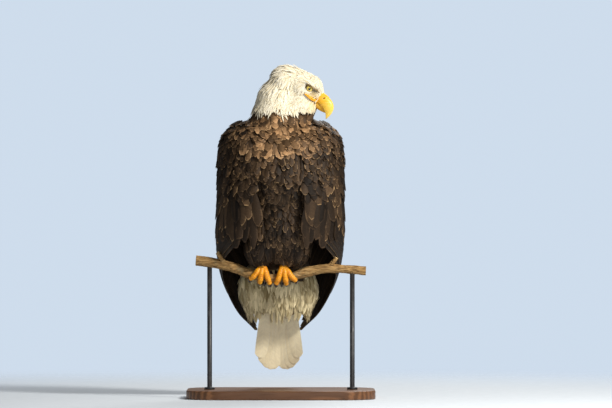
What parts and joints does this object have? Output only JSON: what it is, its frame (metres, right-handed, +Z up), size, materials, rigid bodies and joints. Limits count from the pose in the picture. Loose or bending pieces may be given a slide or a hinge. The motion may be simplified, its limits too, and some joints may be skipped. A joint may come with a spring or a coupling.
{
  "type": "bald eagle model on a perch and stand",
  "caption": "Life-size adult bald eagle, perched upright with its head turned to its left, on a short cut branch held by a plain display stand.",
  "frame": {"origin": "middle of the stand's underside, on the surface that it stands on", "axes": "+Z up, -Y the way the bird's breast faces, +X to the bird's own left"},
  "size_m": [0.47, 0.33, 0.8296],
  "materials": {
    "white_feathers": "soft white feathers",
    "brown_feathers": "brown feathers with paler edges",
    "flight_feathers": "dark brown wing feathers",
    "bill": "smooth yellow horn",
    "foot_skin": "scaly orange-yellow skin",
    "claw": "polished black horn",
    "eye": "wet, pale yellow iris with a black pupil",
    "bark": "rough tan bark",
    "stand_board": "satin brown wood",
    "stand_metal": "satin black rod"
  },
  "bodies": {
    "root": {"head": "white_feathers", "neck": "white_feathers", "tail": "white_feathers", "tail_coverts": "white_feathers", "trunk": "brown_feathers", "leg_left": "brown_feathers", "leg_right": "brown_feathers", "wing_left": "flight_feathers", "wing_right": "flight_feathers", "bill_upper": "bill", "bill_lower": "bill", "foot_left": "foot_skin", "foot_right": "foot_skin", "claw_inner_left": "claw", "claw_middle_left": "claw", "claw_outer_left": "claw", "claw_hind_left": "claw", "claw_inner_right": "claw", "claw_middle_right": "claw", "claw_outer_right": "claw", "claw_hind_right": "claw", "eye_left": "eye", "eye_right": "eye", "perch": "bark", "stand_base": "stand_board", "stand_rod_left": "stand_metal", "stand_rod_right": "stand_metal"}
  },
  "joints": []
}
